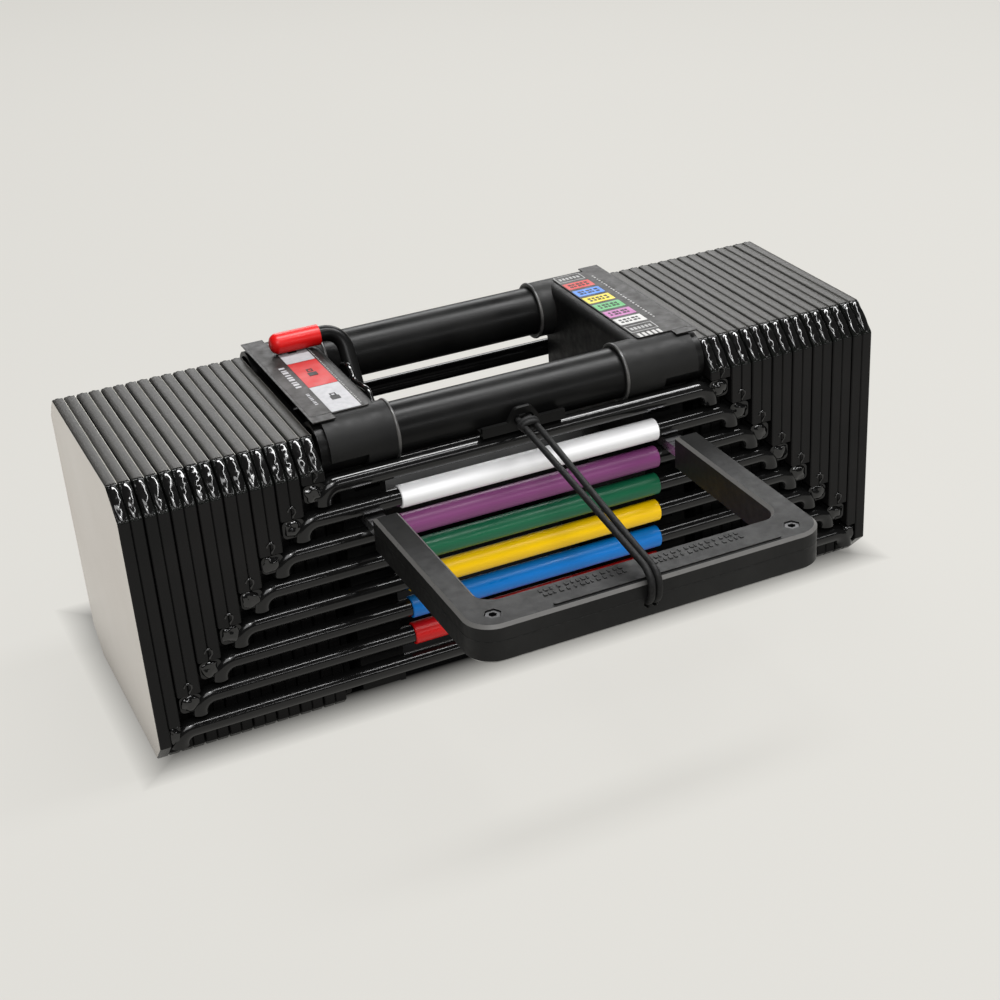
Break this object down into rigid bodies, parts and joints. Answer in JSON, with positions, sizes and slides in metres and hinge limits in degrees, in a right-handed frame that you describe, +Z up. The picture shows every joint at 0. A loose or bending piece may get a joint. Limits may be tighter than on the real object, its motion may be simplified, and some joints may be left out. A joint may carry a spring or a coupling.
{
  "type": "adjustable dumbbell",
  "caption": "Adjustable block dumbbell of nested black steel plate pairs with coloured rails, a gripped core, a U-shaped selector pin on an elastic lanyard, and a red-tipped lock lever.",
  "frame": {"origin": "centre of the footprint at floor level, the selector pin included", "axes": "+X along the length of the block, +Y away from the selector pin's handle, +Z up"},
  "size_m": [0.419, 0.2818, 0.1739],
  "materials": {
    "plate_paint": "satin",
    "rail_paint": "gloss",
    "core_paint": "satin",
    "bright_steel": "satin",
    "grip_rubber": "matte",
    "black_moulding": "satin",
    "label_film": "satin",
    "black_screw": "black oxide",
    "magnet": "plated",
    "elastic": "braided",
    "white_vinyl": "gloss",
    "purple_vinyl": "gloss",
    "green_vinyl": "gloss",
    "yellow_vinyl": "gloss",
    "blue_vinyl": "gloss",
    "red_vinyl": "gloss"
  },
  "bodies": {
    "pair_8": {"pair_8_left_plates": "plate_paint", "pair_8_right_plates": "plate_paint", "pair_8_rails": "rail_paint"},
    "pair_7": {"pair_7_left_plates": "plate_paint", "pair_7_right_plates": "plate_paint", "pair_7_rails": "rail_paint", "red_rail_sleeve": "red_vinyl"},
    "pair_6": {"pair_6_left_plates": "plate_paint", "pair_6_right_plates": "plate_paint", "pair_6_rails": "rail_paint", "blue_rail_sleeve": "blue_vinyl"},
    "pair_5": {"pair_5_left_plates": "plate_paint", "pair_5_right_plates": "plate_paint", "pair_5_rails": "rail_paint", "yellow_rail_sleeve": "yellow_vinyl"},
    "pair_4": {"pair_4_left_plates": "plate_paint", "pair_4_right_plates": "plate_paint", "pair_4_rails": "rail_paint", "green_rail_sleeve": "green_vinyl"},
    "pair_3": {"pair_3_left_plates": "plate_paint", "pair_3_right_plates": "plate_paint", "pair_3_rails": "rail_paint", "purple_rail_sleeve": "purple_vinyl"},
    "pair_2": {"pair_2_left_plates": "plate_paint", "pair_2_right_plates": "plate_paint", "pair_2_rails": "rail_paint", "white_rail_sleeve": "white_vinyl"},
    "pair_1": {"pair_1_left_plates": "plate_paint", "pair_1_right_plates": "plate_paint", "pair_1_rails": "rail_paint"},
    "core": {"left_end_plate": "core_paint", "right_end_plate": "core_paint", "front_tube": "core_paint", "back_tube": "core_paint", "front_adder_weight": "bright_steel", "back_adder_weight": "bright_steel", "grip_bar": "bright_steel", "grip_tube": "core_paint", "grip_sleeve": "grip_rubber", "grip_screws": "bright_steel", "left_housing": "black_moulding", "right_housing": "black_moulding", "left_slot_channel": "black_moulding", "right_slot_channel": "black_moulding", "left_label_plate": "label_film", "right_label_plate": "label_film", "lanyard_tab": "core_paint", "pivot_bolt": "bright_steel"},
    "lever": {"lever_rod": "core_paint", "lever_cap": "red_vinyl", "lock_gate": "core_paint"},
    "selector_pin": {"pin_upper_shell": "black_moulding", "pin_lower_shell": "black_moulding", "pin_fork": "bright_steel", "pin_screws": "black_screw", "pin_nuts": "black_screw", "pin_magnets": "magnet", "lanyard": "elastic"}
  },
  "joints": [
    {"name": "pair_7_lift", "type": "slide", "parent": "pair_8", "child": "pair_7", "axis": [0, 0, 1], "range_m": [0, 0.15]},
    {"name": "pair_6_lift", "type": "slide", "parent": "pair_7", "child": "pair_6", "axis": [0, 0, 1], "range_m": [0, 0.15]},
    {"name": "pair_5_lift", "type": "slide", "parent": "pair_6", "child": "pair_5", "axis": [0, 0, 1], "range_m": [0, 0.15]},
    {"name": "pair_4_lift", "type": "slide", "parent": "pair_5", "child": "pair_4", "axis": [0, 0, 1], "range_m": [0, 0.15]},
    {"name": "pair_3_lift", "type": "slide", "parent": "pair_4", "child": "pair_3", "axis": [0, 0, 1], "range_m": [0, 0.15]},
    {"name": "core_lift", "type": "slide", "parent": "pair_3", "child": "core", "axis": [0, 0, 1], "range_m": [0, 0.15]},
    {"name": "pair_2_lift", "type": "slide", "parent": "pair_3", "child": "pair_2", "axis": [0, 0, 1], "range_m": [0, 0.15]},
    {"name": "pair_1_lift", "type": "slide", "parent": "pair_3", "child": "pair_1", "axis": [0, 0, 1], "range_m": [0, 0.15]},
    {"name": "pin_slide", "type": "slide", "parent": "core", "child": "selector_pin", "axis": [0, 1, 0], "range_m": [-0.13, 0.012], "deforming": ["lanyard"]},
    {"name": "lever_swing", "type": "hinge", "parent": "core", "child": "lever", "pos_m": [-0.07, 0.068, 0.1156], "axis": [1, 0, 0], "range_deg": [0, 64]}
  ],
  "couplings": [
    {"joint": "pair_2_lift", "follows": "core_lift", "ratio": 1},
    {"joint": "pair_1_lift", "follows": "core_lift", "ratio": 1}
  ]
}
